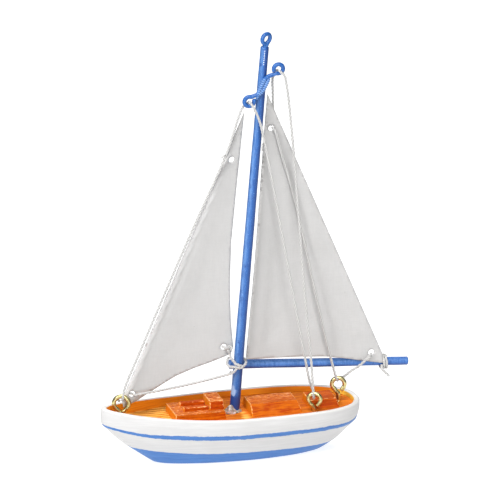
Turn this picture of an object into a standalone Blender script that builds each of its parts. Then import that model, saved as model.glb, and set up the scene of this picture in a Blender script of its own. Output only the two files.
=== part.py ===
"""A small decorative sailing boat with a painted hull, cloth sails and string rigging.

Lengths are in millimetres in this file and become metres when a shape is made. The bow points
to -X, port is -Y and +Z is up. The origin is on the hull's flat base, amidships.
"""

import math

import bmesh
import bpy
from mathutils import Matrix, Vector

MM = 0.001
GAP = 0.3  # left between pieces that touch on the real boat

# Hull: one waterline for each level, from the flat base up to the rail.
WIDEST_X = 6.0
BOTTOM_SHAPE = dict(bow_fullness=0.46, stern_fullness=0.76, bow_shoulder=0.50, stern_shoulder=0.44)
TOPSIDE_SHAPE = dict(bow_fullness=0.38, stern_fullness=0.85, bow_shoulder=0.55, stern_shoulder=0.39)
BASE_LINE = dict(bow=-29.0, stern=34.3, beam=7.6, heights=(0.0, 0.0, 0.0), **BOTTOM_SHAPE)
TURN_LINE = dict(bow=-31.8, stern=37.8, beam=9.3, heights=(1.0, 0.7, 1.0), **BOTTOM_SHAPE)
PAINT_LINE = dict(bow=-42.0, stern=43.2, beam=12.2, heights=(8.3, 5.0, 4.2), **BOTTOM_SHAPE)
BILGE_LINE = dict(bow=-47.6, stern=47.6, beam=14.6, heights=(13.2, 9.2, 8.3), **BOTTOM_SHAPE)
STRIPE_LINE = dict(bow=-52.2, stern=51.2, beam=16.9, heights=(18.0, 13.3, 12.4), **TOPSIDE_SHAPE)
SIDE_LINE = dict(bow=-52.6, stern=52.4, beam=18.0, heights=(21.4, 17.1, 16.4), **TOPSIDE_SHAPE)
RAIL_LINE = dict(bow=-52.5, stern=52.5, beam=18.2, heights=(24.7, 20.8, 20.0), **TOPSIDE_SHAPE)
INNER_RAIL_LINE = dict(bow=-50.4, stern=50.9, beam=16.6, heights=(24.7, 20.8, 20.0), **TOPSIDE_SHAPE)
WELL_LINE = dict(bow=-49.9, stern=50.5, beam=16.1, **TOPSIDE_SHAPE)
STEPS_PER_QUARTER = 9

# Deck: flat amidships, rising to the bow.
DECK_Z, DECK_THICKNESS = 18.2, 3.0
DECK_RISE, DECK_RISE_FROM, DECK_RISE_LENGTH = 2.0, -25.0, 25.0

# Deck houses: (aft x, fore x), half widths at the bottom and the top, and the top's height.
FORE_CABIN = dict(fore=-24.0, aft=-3.4, bottom_half=8.0, top_half=7.5, top=21.5, aft_rake=0.3)
HATCH_RAIL_X = (-19.8, -10.0)
HATCH_RAIL_Y, HATCH_RAIL_WIDTH, HATCH_RAIL_HEIGHT = 3.1, 2.3, 1.2
HATCH = dict(fore=-9.5, aft=-3.7, bottom_half=5.4, top_half=5.0, top=25.2, aft_rake=0.2)
MAIN_CABIN = dict(fore=7.2, aft=27.8, bottom_half=8.9, top_half=4.75, top=22.2, aft_rake=1.6)
AFT_CABIN = dict(fore=31.4, aft=43.2, bottom_half=6.6, top_half=4.6, top=21.5, aft_rake=0.8)

# Spars.
MAST_FOOT = Vector((1.95, 0.0, DECK_Z))
MAST_RAKE = math.radians(4.7)
MAST_LENGTH, MAST_TENON = 152.4, 8.5
MAST_FOOT_RADIUS, MAST_TOP_RADIUS = 2.0, 1.75
BOOM_Y, BOOM_DROOP = 4.2, math.radians(4.5)
BOOM_CROSSES_AT = Vector((3.9, BOOM_Y, 36.2))
BOOM_FORE, BOOM_AFT = 3.1, 70.4  # lengths before and behind the mast
BOOM_FORE_RADIUS, BOOM_AFT_RADIUS = 1.85, 1.65

# Screw eyes: one bent wire each.
WIRE_RADIUS, BLUE_WIRE_RADIUS = 0.7, 0.78
EYE_NECK = 1.0  # from the ring's wire down to where the shank is straight
EYES = {
    "bow_screw_eye": dict(at=(-44.2, 0.0, 26.0), ring=2.95, shank=9.5, yaw=-15.6, hand=-1),
    "port_screw_eye": dict(at=(32.1, -9.3, 23.4), ring=2.4, shank=7.5, yaw=-18.0, hand=1),
    "stern_screw_eye": dict(at=(44.4, 0.0, 25.4), ring=2.45, shank=11.0, yaw=-12.0, hand=1),
}
BLUE_RING_RADIUS = 2.0
MASTHEAD_EYE_RISE, MASTHEAD_SHANK, MASTHEAD_YAW = 3.3, 8.0, 25.0
SIDE_EYE_Y = -2.3
FORE_EYE_AT = Vector((7.4, SIDE_EYE_Y, 148.5))
AFT_EYE_AT = Vector((19.3, SIDE_EYE_Y, 161.0))
SIDE_EYE_SHANK, SIDE_EYE_SPACING = 7.2, 1.9  # the two shanks lie side by side

# Sails: outlines in the plane of the sail (along the boat, up), and their punched holes.
SAIL_THICKNESS, SAIL_HOLE_RADIUS = 0.45, 1.25
MAINSAIL_OUTLINE = (
    (6.5, 39.6), (15.5, 150.0), (62.3, 35.6), (62.2, 31.6), (48.5, 35.1), (40.0, 36.9), (29.0, 38.1),
)
MAINSAIL_HOLES = ((17.05, 135.5), (58.5, 36.5))
MAINSAIL_TURN = math.radians(1.8)  # the clew stands a little to starboard, towards the boom
JIB_OUTLINE = (
    (6.2, 143.0), (2.9, 110.2), (0.9, 89.0), (0.4, 71.0), (0.8, 56.0), (1.8, 44.9), (0.9, 42.2),
    (-1.3, 41.2), (-7.7, 39.3), (-14.2, 37.5), (-21.5, 34.9), (-26.9, 32.1), (-37.8, 26.0), (-43.0, 23.6),
    (-43.6, 26.9),
)
JIB_HOLES = ((0.85, 123.8), (-2.1, 45.1), (-39.5, 29.1))
JIB_Y_LOW, JIB_Y_HIGH = 1.3, 0.7  # at its tack and at its head
JIB_LOW_Z, JIB_HIGH_Z = 23.6, 143.0

# String rigging: routes chosen by hand, from one hold to the next.
STRING_RADIUS = 0.5
ROUTES = {
    # aft mast eye, port eye, fore mast eye, and down the jib's luff into the bow eye
    "standing_rigging": (
        (19.5, -2.7, 160.5), (20.2, -3.8, 159.8), (21.2, -4.1, 158.9), (22.2, -4.1, 154.6),
        (24.4, -4.9, 131.6), (28.2, -8.2, 71.5), (30.5, -10.6, 39.0), (31.0, -11.2, 29.0),
        (31.2, -10.9, 25.7), (31.9, -9.3, 24.0), (32.4, -8.0, 24.7), (32.2, -7.6, 26.3), (30.8, -7.9, 29.5),
        (28.3, -7.9, 42.8), (13.0, -4.2, 132.4), (11.0, -3.9, 141.0), (8.5, -3.9, 146.7), (7.5, -2.3, 148.3),
        (7.0, -0.8, 147.1), (5.4, -0.5, 145.8), (-1.3, -0.3, 126.7), (-16.9, -0.5, 92.6),
        (-37.3, -1.1, 46.5), (-43.6, -1.7, 32.0), (-44.0, -1.6, 28.8), (-44.0, -0.2, 27.2),
    ),
    # aft mast eye, down behind the mainsail, into its head hole
    "halyard_line": (
        (19.2, -2.0, 160.4), (18.9, -0.6, 159.7), (18.3, -0.2, 158.4), (17.7, 0.3, 156.0), (18.0, 1.2, 151.0),
        (18.2, 1.5, 146.0), (18.1, 1.6, 138.6), (17.3, 1.1, 136.1),
    ),
    # head hole, down in front of the mainsail, into the stern eye
    "topping_line": (
        (17.2, -0.5, 136.2), (18.3, -0.95, 134.5), (21.0, -0.95, 124.6), (26.5, -1.0, 104.8),
        (33.4, -1.2, 71.8), (40.7, -1.4, 38.3), (43.1, -1.6, 28.9), (43.6, -1.5, 27.7), (43.95, -0.9, 26.9),
    ),
    # stern eye, up in front of the boom, into the clew hole
    "mainsheet_line": (
        (44.75, 0.6, 26.7), (45.4, 1.3, 27.2), (47.4, 1.5, 27.8), (50.0, 1.2, 29.8), (52.8, 0.8, 31.5),
        (55.8, 0.6, 34.0), (57.6, 0.7, 35.7), (58.4, 1.3, 36.5),
    ),
    # tack hole of the jib, from behind to in front, and back to the mast
    "tack_line": (
        (-44.7, 0.6, 26.6), (-45.0, 2.2, 27.3), (-43.0, 3.0, 28.4), (-40.4, 2.3, 29.1),
        (-39.4, 1.2, 29.1), (-38.7, 0.1, 29.0), (-36.4, -0.4, 29.3), (-18.3, -1.1, 31.5),
        (-1.2, -2.2, 34.7), (0.6, -2.6, 35.4), (1.5, -2.9, 36.5),
    ),
    # round the mast and the boom where they cross
    "boom_lashing": (
        (0.0, 1.0, 40.7), (-0.9, 0.6, 39.3), (-0.9, -0.1, 38.0), (0.0, -1.5, 37.5), (1.2, -2.6, 37.7),
        (2.6, -3.0, 37.2), (4.5, -2.7, 37.4), (5.8, -1.8, 37.9), (6.6, -0.6, 38.3), (6.9, 0.8, 38.5),
        (6.6, 2.4, 38.9), (6.2, 4.4, 39.0), (5.6, 6.3, 37.9), (4.9, 7.1, 36.1), (4.0, 6.4, 33.9),
        (2.9, 4.2, 33.2), (1.7, 2.3, 33.5), (0.6, 0.7, 34.2), (0.3, -0.6, 34.9),
    ),
    # clew hole of the jib, down to the lashing
    "jib_clew_tie": (
        (-2.3, 2.4, 44.9), (-2.1, 1.0, 45.1), (-1.2, 0.1, 44.9), (-0.2, 0.0, 43.6), (0.1, -0.7, 41.6),
        (1.0, -2.2, 40.1), (2.1, -2.9, 38.7), (3.2, -3.0, 38.6),
    ),
}
CLEW_TURNS, CLEW_TURN_PITCH, CLEW_TURN_X = 3, 1.15, 63.3
TAIL = ((62.7, 1.2, 29.4), (63.7, 0.9, 28.2), (65.6, 1.0, 26.2))

# Glue round the mast's foot.
GLUE_INNER, GLUE_OUTER, GLUE_HEIGHT = 2.35, 3.7, 1.7
GLUE_LOBES, GLUE_LOBE_DEPTH = 5, 0.5

COLOURS = {
    "hull_paint": ((0.86, 0.85, 0.82), 0.55, 0.0),
    "deck_paint": ((0.80, 0.40, 0.08), 0.45, 0.0),
    "cabin_paint": ((0.78, 0.22, 0.05), 0.45, 0.0),
    "spar_paint": ((0.10, 0.24, 0.62), 0.45, 0.0),
    "brass": ((0.78, 0.62, 0.30), 0.25, 1.0),
    "sail_cloth": ((0.82, 0.81, 0.79), 0.85, 0.0),
    "string": ((0.86, 0.84, 0.80), 0.90, 0.0),
    "glue": ((0.80, 0.76, 0.70), 0.40, 0.0),
}


def clear_scene():
    for thing in list(bpy.data.objects):
        bpy.data.objects.remove(thing, do_unlink=True)


def make_materials():
    made = {}
    for name, (colour, roughness, metallic) in COLOURS.items():
        material = bpy.data.materials.new(name)
        material.use_nodes = True
        shader = material.node_tree.nodes["Principled BSDF"]
        shader.inputs["Base Color"].default_value = (*colour, 1.0)
        shader.inputs["Roughness"].default_value = roughness
        shader.inputs["Metallic"].default_value = metallic
        made[name] = material
    return made


def add_object(name, data, material=None):
    thing = bpy.data.objects.new(name, data)
    if material:
        thing.data.materials.append(material)
    bpy.context.scene.collection.objects.link(thing)
    return thing


def mesh_object(name, points, faces, material, smooth_angle=None):
    """A closed mesh from points in millimetres, with its faces turned outwards."""
    mesh = bpy.data.meshes.new(name)
    mesh.from_pydata([Vector(p) * MM for p in points], [], faces)
    shell = bmesh.new()
    shell.from_mesh(mesh)
    bmesh.ops.recalc_face_normals(shell, faces=shell.faces)
    shell.to_mesh(mesh)
    shell.free()
    if smooth_angle:
        mesh.shade_smooth()
        mesh.set_sharp_from_angle(angle=math.radians(smooth_angle))
    return add_object(name, mesh, material)


def cut(thing, cutter):
    """Takes the cutter's shape out of a solid."""
    cutter.hide_render = True
    cutter.display_type = "WIRE"
    hole = thing.modifiers.new("hole", "BOOLEAN")
    hole.operation = "DIFFERENCE"
    hole.object = cutter


def bezier(a, b, c, d, t):
    s = 1.0 - t
    return a * s**3 + 3 * b * s * s * t + 3 * c * s * t * t + d * t**3


def half_waterline(bow, stern, beam, bow_fullness, stern_fullness, bow_shoulder, stern_shoulder):
    """Points from the stem round to the sternpost on the starboard side."""
    fore, aft = WIDEST_X - bow, stern - WIDEST_X
    quarters = (
        ((bow, 0), (bow, beam * bow_fullness), (bow + fore * bow_shoulder, beam), (WIDEST_X, beam)),
        ((WIDEST_X, beam), (stern - aft * stern_shoulder, beam), (stern, beam * stern_fullness), (stern, 0)),
    )
    points = []
    for corners in quarters:
        corners = [Vector(c) for c in corners]
        points += [bezier(*corners, i / STEPS_PER_QUARTER) for i in range(STEPS_PER_QUARTER)]
    return points + [Vector((stern, 0))]


def level_height(x, bow, stern, heights):
    """Height of a level at x: it rises from amidships to each end by a parabola."""
    at_bow, amidships, at_stern = heights
    if x < WIDEST_X:
        return amidships + (at_bow - amidships) * ((WIDEST_X - x) / (WIDEST_X - bow)) ** 2
    return amidships + (at_stern - amidships) * ((x - WIDEST_X) / (stern - WIDEST_X)) ** 2


def deck_height(x):
    forward = max(0.0, DECK_RISE_FROM - x) / DECK_RISE_LENGTH
    return DECK_Z + DECK_RISE * forward**2


def full_ring(half, height):
    """A closed ring from a half outline, starboard side first and then port, back to the bow."""
    starboard = [(p.x, p.y, height(p.x)) for p in half]
    port = [(x, -y, z) for x, y, z in reversed(starboard[1:-1])]
    return starboard + port


def level_ring(heights, **line):
    return full_ring(half_waterline(**line), lambda x: level_height(x, line["bow"], line["stern"], heights))


def ladder(first, count):
    """Faces across a ring whose halves mirror each other: rungs between port and starboard."""
    half = count // 2
    faces = [(first, first + 1, first + count - 1)]
    for i in range(1, half - 1):
        faces.append((first + i, first + i + 1, first + count - i - 1, first + count - i))
    faces.append((first + half - 1, first + half, first + half + 1))
    return faces


def loft(name, rings, material, smooth_angle=None):
    """A solid through closed rings of as many points each, with a ladder across each end."""
    count = len(rings[0])
    points = [p for ring in rings for p in ring]
    faces = []
    for r in range(len(rings) - 1):
        for i in range(count):
            j = (i + 1) % count
            faces.append((r * count + i, r * count + j, (r + 1) * count + j, (r + 1) * count + i))
    faces += ladder(0, count) + ladder((len(rings) - 1) * count, count)
    return mesh_object(name, points, faces, material, smooth_angle)


def make_hull(material):
    outer = [BASE_LINE, TURN_LINE, PAINT_LINE, BILGE_LINE, STRIPE_LINE, SIDE_LINE, RAIL_LINE]
    rings = [level_ring(**line) for line in outer + [INNER_RAIL_LINE]]
    floor_drop = DECK_THICKNESS + GAP
    rings.append(full_ring(half_waterline(**WELL_LINE), lambda x: deck_height(x) - floor_drop))
    return loft("hull", rings, material, 40)


def make_deck(material):
    edge = dict(WELL_LINE)
    edge.update(bow=edge["bow"] + GAP, stern=edge["stern"] - GAP, beam=edge["beam"] - GAP)
    half = half_waterline(**edge)
    bottom = full_ring(half, lambda x: deck_height(x) - DECK_THICKNESS)
    return loft("deck", [bottom, full_ring(half, deck_height)], material)


def house(name, fore, aft, bottom_half, top_half, top, aft_rake, material, bottom=DECK_Z):
    """A deck house: a block whose sides lean in and whose aft face leans forward."""
    low = bottom + GAP
    points = [
        (fore, -bottom_half, low), (aft, -bottom_half, low), (aft, bottom_half, low), (fore, bottom_half, low),
        (fore, -top_half, top), (aft - aft_rake, -top_half, top), (aft - aft_rake, top_half, top),
        (fore, top_half, top),
    ]
    faces = [(0, 1, 2, 3), (4, 5, 6, 7), (0, 1, 5, 4), (1, 2, 6, 5), (2, 3, 7, 6), (3, 0, 4, 7)]
    return mesh_object(name, points, faces, material)


def make_houses(material):
    house("forward_cabin", material=material, **FORE_CABIN)
    house("forward_hatch", material=material, bottom=FORE_CABIN["top"], **HATCH)
    house("main_cabin", material=material, **MAIN_CABIN)
    house("aft_cabin", material=material, **AFT_CABIN)
    fore, aft = HATCH_RAIL_X
    half = HATCH_RAIL_WIDTH / 2
    for name, y in (("hatch_rail_port", -HATCH_RAIL_Y), ("hatch_rail_starboard", HATCH_RAIL_Y)):
        rail = house(
            name, fore, aft, half, half, FORE_CABIN["top"] + GAP + HATCH_RAIL_HEIGHT, 0.0, material,
            bottom=FORE_CABIN["top"],
        )
        rail.location.y = y * MM


def rod(name, start, along, length, start_radius, end_radius, material, sides=16, chamfer=0.0):
    """A round tapered bar, with slightly chamfered ends where asked."""
    along = along.normalized()
    side = along.cross(Vector((0, 1, 0))).normalized()
    up = side.cross(along)
    stations = [(0.0, start_radius - chamfer), (length, end_radius - chamfer)]
    if chamfer:
        stations[1:1] = [(chamfer, start_radius), (length - chamfer, end_radius)]
    points = []
    for distance, radius in stations:
        for i in range(sides):
            turn = math.tau * i / sides
            points.append(start + along * distance + (side * math.cos(turn) + up * math.sin(turn)) * radius)
    last = (len(stations) - 1) * sides
    faces = [tuple(range(sides)), tuple(range(last, last + sides))]
    for first in range(0, last, sides):
        for i in range(sides):
            j = (i + 1) % sides
            faces.append((first + i, first + j, first + sides + j, first + sides + i))
    return mesh_object(name, points, faces, material, 40)


def mast_direction():
    return Vector((math.sin(MAST_RAKE), 0.0, math.cos(MAST_RAKE)))


def boom_direction():
    return Vector((math.cos(BOOM_DROOP), 0.0, -math.sin(BOOM_DROOP)))


def make_spars(material):
    up = mast_direction()
    start = MAST_FOOT - up * MAST_TENON
    mast = rod(
        "mast", start, up, MAST_TENON + MAST_LENGTH, MAST_FOOT_RADIUS, MAST_TOP_RADIUS, material, chamfer=0.3,
    )
    aft = boom_direction()
    length = BOOM_FORE + BOOM_AFT
    boom = rod(
        "boom", BOOM_CROSSES_AT - aft * BOOM_FORE, aft, length, BOOM_FORE_RADIUS, BOOM_AFT_RADIUS, material,
        chamfer=0.6,
    )
    return mast, boom


def tube(name, points, radius, material=None):
    """A round bar of one radius along a line of points, closed at both ends."""
    curve = bpy.data.curves.new(name, "CURVE")
    curve.dimensions = "3D"
    curve.bevel_depth = radius * MM
    curve.bevel_resolution = 2
    curve.use_fill_caps = True
    spline = curve.splines.new("POLY")
    spline.points.add(len(points) - 1)
    for place, point in zip(spline.points, points):
        place.co = (*(Vector(point) * MM), 1.0)
        spline.use_smooth = True
    return add_object(name, curve, material)


def eye_wire(ring, shank, hand):
    """The middle line of a screw eye's wire: up the shank, out at the neck and round the ring.

    The ring's middle is the origin, and it closes to a small gap on the side that hand picks.
    """
    neck = ring + EYE_NECK
    points = [Vector((0, 0, -neck - shank)), Vector((0, 0, -neck))]
    start, sweep, steps = 222.0, 276.0, 13
    for i in range(steps + 1):
        turn = math.radians(start - sweep * i / steps)
        points.append(Vector((ring * math.cos(turn), 0, ring * math.sin(turn))))
    return [Vector((p.x * hand, p.y, p.z)) for p in points]


def make_eye(name, place, ring, shank, wire_radius, hand, material):
    """A screw eye at a place (a matrix), and the clearance hole's cutter for its shank."""
    wire = tube(name, eye_wire(ring, shank, hand), wire_radius, material)
    wire.matrix_world = place
    neck = ring + EYE_NECK
    cutter = rod(
        name + "_hole", Vector((0, 0, -neck - shank - GAP)), Vector((0, 0, 1)), shank + GAP + 0.2,
        wire_radius + GAP, wire_radius + GAP, None, sides=12,
    )
    cutter.matrix_world = place
    return cutter


def eye_place(at, turn):
    return Matrix.Translation(Vector(at) * MM) @ turn


def make_deck_eyes(hull, deck, material):
    for name, eye in EYES.items():
        place = eye_place(eye["at"], Matrix.Rotation(math.radians(eye["yaw"]), 4, "Z"))
        cutter = make_eye(name, place, eye["ring"], eye["shank"], WIRE_RADIUS, eye["hand"], material)
        cut(hull, cutter)
        cut(deck, cutter)


def make_mast_eyes(mast, material):
    """The masthead eye stands in the mast's end. The side eyes lie across its port face, side by side."""
    top = MAST_FOOT + mast_direction() * (MAST_LENGTH + MASTHEAD_EYE_RISE) + Vector((0, -0.3, 0))
    raked = Matrix.Rotation(MAST_RAKE, 4, "Y") @ Matrix.Rotation(math.radians(MASTHEAD_YAW), 4, "Z")
    cut(mast, make_eye(
        "masthead_eye", eye_place(top, raked), BLUE_RING_RADIUS, MASTHEAD_SHANK, BLUE_WIRE_RADIUS, 1, material,
    ))
    across = AFT_EYE_AT - FORE_EYE_AT
    lean = math.atan2(across.x, across.z) + math.asin(SIDE_EYE_SPACING / across.length)
    for name, at, turn in (("forestay_eye", FORE_EYE_AT, lean + math.pi), ("backstay_eye", AFT_EYE_AT, lean)):
        place = eye_place(at, Matrix.Rotation(turn, 4, "Y"))
        cut(mast, make_eye(name, place, BLUE_RING_RADIUS, SIDE_EYE_SHANK, BLUE_WIRE_RADIUS, -1, material))


def cut_mast_hole(hull, deck):
    up = mast_direction()
    start = MAST_FOOT - up * (MAST_TENON + GAP)
    radius = MAST_FOOT_RADIUS + GAP
    hole = rod("mast_hole", start, up, MAST_TENON + 3.0, radius, radius, None)
    cut(hull, hole)
    cut(deck, hole)


def sail(name, outline, holes, material):
    """A flat sheet of cloth in its own XY plane, with punched holes and a little thickness."""
    curve = bpy.data.curves.new(name, "CURVE")
    curve.dimensions = "2D"
    curve.fill_mode = "BOTH"
    curve.extrude = SAIL_THICKNESS / 2 * MM
    circles = [
        [
            (x + SAIL_HOLE_RADIUS * math.cos(math.tau * i / 12), z + SAIL_HOLE_RADIUS * math.sin(math.tau * i / 12))
            for i in range(12)
        ]
        for x, z in holes
    ]
    for loop in [outline] + circles:
        spline = curve.splines.new("POLY")
        spline.points.add(len(loop) - 1)
        for place, (x, z) in zip(spline.points, loop):
            place.co = (x * MM, z * MM, 0.0, 1.0)
        spline.use_cyclic_u = True
    return add_object(name, curve, material)


def make_mainsail(material):
    """It stands behind the mast, in the plane of the mast's axis, and turns about that axis."""
    cloth = sail("mainsail", MAINSAIL_OUTLINE, MAINSAIL_HOLES, material)
    stand = Matrix.Rotation(math.pi / 2, 4, "X")
    foot = Matrix.Translation(MAST_FOOT * MM)
    about_mast = foot @ Matrix.Rotation(MAINSAIL_TURN, 4, mast_direction()) @ foot.inverted()
    cloth.matrix_world = about_mast @ stand
    return cloth


def make_jib(material):
    cloth = sail("jib", JIB_OUTLINE, JIB_HOLES, material)
    lean = math.atan2(JIB_Y_HIGH - JIB_Y_LOW, JIB_HIGH_Z - JIB_LOW_Z)
    tack = Matrix.Translation(Vector((0, JIB_Y_LOW, JIB_LOW_Z)) * MM)
    back = Matrix.Translation(Vector((0, -JIB_LOW_Z, 0)) * MM)
    cloth.matrix_world = tack @ Matrix.Rotation(math.pi / 2 - lean, 4, "X") @ back
    return cloth


def smooth_route(points, step=4.0):
    """Points along a smooth curve through the given ones (a centripetal Catmull-Rom curve)."""
    points = [Vector(p) for p in points]
    ends = [points[0] * 2 - points[1]] + points + [points[-1] * 2 - points[-2]]
    made = [points[0]]
    for a, b, c, d in zip(ends, ends[1:], ends[2:], ends[3:]):
        t1 = (b - a).length ** 0.5
        t2 = t1 + (c - b).length ** 0.5
        t3 = t2 + (d - c).length ** 0.5
        count = min(6, max(2, math.ceil((c - b).length / step)))
        for i in range(1, count + 1):
            t = t1 + (t2 - t1) * i / count
            ab, bc, cd = a.lerp(b, t / t1), b.lerp(c, (t - t1) / (t2 - t1)), c.lerp(d, (t - t2) / (t3 - t2))
            made.append(ab.lerp(bc, t / t2).lerp(bc.lerp(cd, (t - t1) / (t3 - t1)), (t - t1) / (t2 - t1)))
    return made


def clew_lashing_route():
    """Turns of string round the boom at the mainsail's clew, and the free tail below it."""
    radius = BOOM_AFT_RADIUS + 0.15 + GAP + STRING_RADIUS
    aft = boom_direction()
    points = []
    steps = 10
    for i in range(CLEW_TURNS * steps + 1):
        x = CLEW_TURN_X + (CLEW_TURNS - i / steps) * CLEW_TURN_PITCH
        middle = BOOM_CROSSES_AT + aft * ((x - BOOM_CROSSES_AT.x) / aft.x)
        turn = math.tau * i / steps - math.pi / 2
        points.append(middle + Vector((0, math.cos(turn) * radius, -math.sin(turn) * radius)))
    return points[:-3] + [Vector(p) for p in TAIL]


def make_rigging(material):
    lines = {name: tube(name, smooth_route(points), STRING_RADIUS, material) for name, points in ROUTES.items()}
    route = smooth_route(clew_lashing_route(), step=2.0)[::2]
    lines["clew_lashing"] = tube("clew_lashing", route, STRING_RADIUS, material)
    return lines


def make_glue(material):
    """A lumpy collar of glue round the mast's foot."""
    sides, rings = 20, []
    low = DECK_Z + GAP
    profile = ((0.0, 0.0), (1.0, 0.0), (0.9, 0.45), (0.45, 0.9), (0.0, 1.0))  # out from the mast, up
    for i in range(sides):
        turn = math.tau * i / sides
        reach = GLUE_OUTER - GLUE_INNER + GLUE_LOBE_DEPTH * math.sin(GLUE_LOBES * turn)
        ring = []
        for out, up in profile:
            radius = GLUE_INNER + out * reach
            lean = math.tan(MAST_RAKE) * up * GLUE_HEIGHT
            ring.append((
                MAST_FOOT.x + lean + radius * math.cos(turn), radius * math.sin(turn), low + up * GLUE_HEIGHT,
            ))
        rings.append(ring)
    count = len(profile)
    faces = []
    for i in range(sides):
        for k in range(count):
            a, b = i * count, (i + 1) % sides * count
            faces.append((a + k, a + (k + 1) % count, b + (k + 1) % count, b + k))
    return mesh_object("mast_glue", [p for ring in rings for p in ring], faces, material, 60)


def pivot(name, at, pieces):
    """An empty on a joint's axis, with the pieces that turn about it as its children."""
    empty = add_object(name, None)
    empty.location = Vector(at) * MM
    bpy.context.view_layer.update()
    for piece in pieces:
        piece.parent = empty
        piece.matrix_parent_inverse = empty.matrix_world.inverted()


def main():
    clear_scene()
    materials = make_materials()
    hull = make_hull(materials["hull_paint"])
    deck = make_deck(materials["deck_paint"])
    make_houses(materials["cabin_paint"])
    mast, boom = make_spars(materials["spar_paint"])
    cut_mast_hole(hull, deck)
    make_deck_eyes(hull, deck, materials["brass"])
    make_mast_eyes(mast, materials["spar_paint"])
    make_glue(materials["glue"])
    mainsail = make_mainsail(materials["sail_cloth"])
    jib = make_jib(materials["sail_cloth"])
    lines = make_rigging(materials["string"])
    pivot("boom_pivot", MAST_FOOT, [boom, mainsail, lines["clew_lashing"]])
    pivot("jib_pivot", ROUTES["standing_rigging"][-3], [jib])


main()
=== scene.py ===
"""A small painted model sailing boat: the looks around its CAD frame.

Lengths are millimetres and become metres when a mesh is made. The bow points to -X, port is -Y.
"""

from math import atan2, ceil, cos, exp, floor, pi, radians, sin, sqrt, tau

import bmesh
import bpy
import numpy as np
from mathutils import Matrix, Vector, geometry, noise


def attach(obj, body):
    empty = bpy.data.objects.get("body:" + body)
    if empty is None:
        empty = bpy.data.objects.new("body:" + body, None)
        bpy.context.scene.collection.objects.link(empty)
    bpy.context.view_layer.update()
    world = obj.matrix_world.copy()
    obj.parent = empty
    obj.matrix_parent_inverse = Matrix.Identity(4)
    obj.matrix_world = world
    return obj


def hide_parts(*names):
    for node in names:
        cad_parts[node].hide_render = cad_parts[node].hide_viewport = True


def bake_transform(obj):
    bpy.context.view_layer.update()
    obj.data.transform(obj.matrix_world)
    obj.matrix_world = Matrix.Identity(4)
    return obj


MM = 0.001
SAIL_BODY = "boom_and_mainsail"
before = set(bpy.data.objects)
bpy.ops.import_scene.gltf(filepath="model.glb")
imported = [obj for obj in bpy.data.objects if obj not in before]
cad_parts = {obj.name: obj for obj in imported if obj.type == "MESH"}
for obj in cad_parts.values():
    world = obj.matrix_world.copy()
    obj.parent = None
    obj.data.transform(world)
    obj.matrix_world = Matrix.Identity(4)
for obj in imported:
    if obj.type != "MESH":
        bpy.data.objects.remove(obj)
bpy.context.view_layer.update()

# ---- camera

YAW, TILT = radians(-15.6), radians(20.4)
VIEW_MIDDLE, VIEW_WIDTH = (7.874, 80.63), 196.85  # millimetres right and up of the keel, and across the view
CAMERA_AWAY = 600  # from the keel; the view has no perspective, so this doesn't change the size


def place_in_scene(name, data):
    made = bpy.data.objects.new(name, data)
    bpy.context.scene.collection.objects.link(made)
    return made


def clamp(*values):
    """The lowest value, held between 0 and 1."""
    return max(0.0, min(1.0, *values))


def bell(value, middle, width):
    """1 where value is at the middle, falling smoothly to 0 on both sides."""
    return exp(-((value - middle) / width) ** 2)


def aim_camera():
    right = Vector((cos(YAW), sin(YAW), 0))
    back = Vector((sin(YAW) * cos(TILT), -cos(YAW) * cos(TILT), sin(TILT)))
    up = back.cross(right)
    middle = right * VIEW_MIDDLE[0] + up * VIEW_MIDDLE[1]
    data = bpy.data.cameras.new("camera")
    data.type = "ORTHO"
    data.ortho_scale = VIEW_WIDTH * MM
    data.clip_start, data.clip_end = 0.01, 20
    camera = place_in_scene("camera", data)
    turn = Matrix((right, up, back)).transposed().to_4x4()
    camera.matrix_world = Matrix.Translation((middle + back * CAMERA_AWAY) * MM) @ turn
    bpy.context.scene.camera = camera


# ---- materials


WAVES_PER_UNIT = 3.183  # the wave node's bands in a unit of length, at a scale of 1


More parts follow.
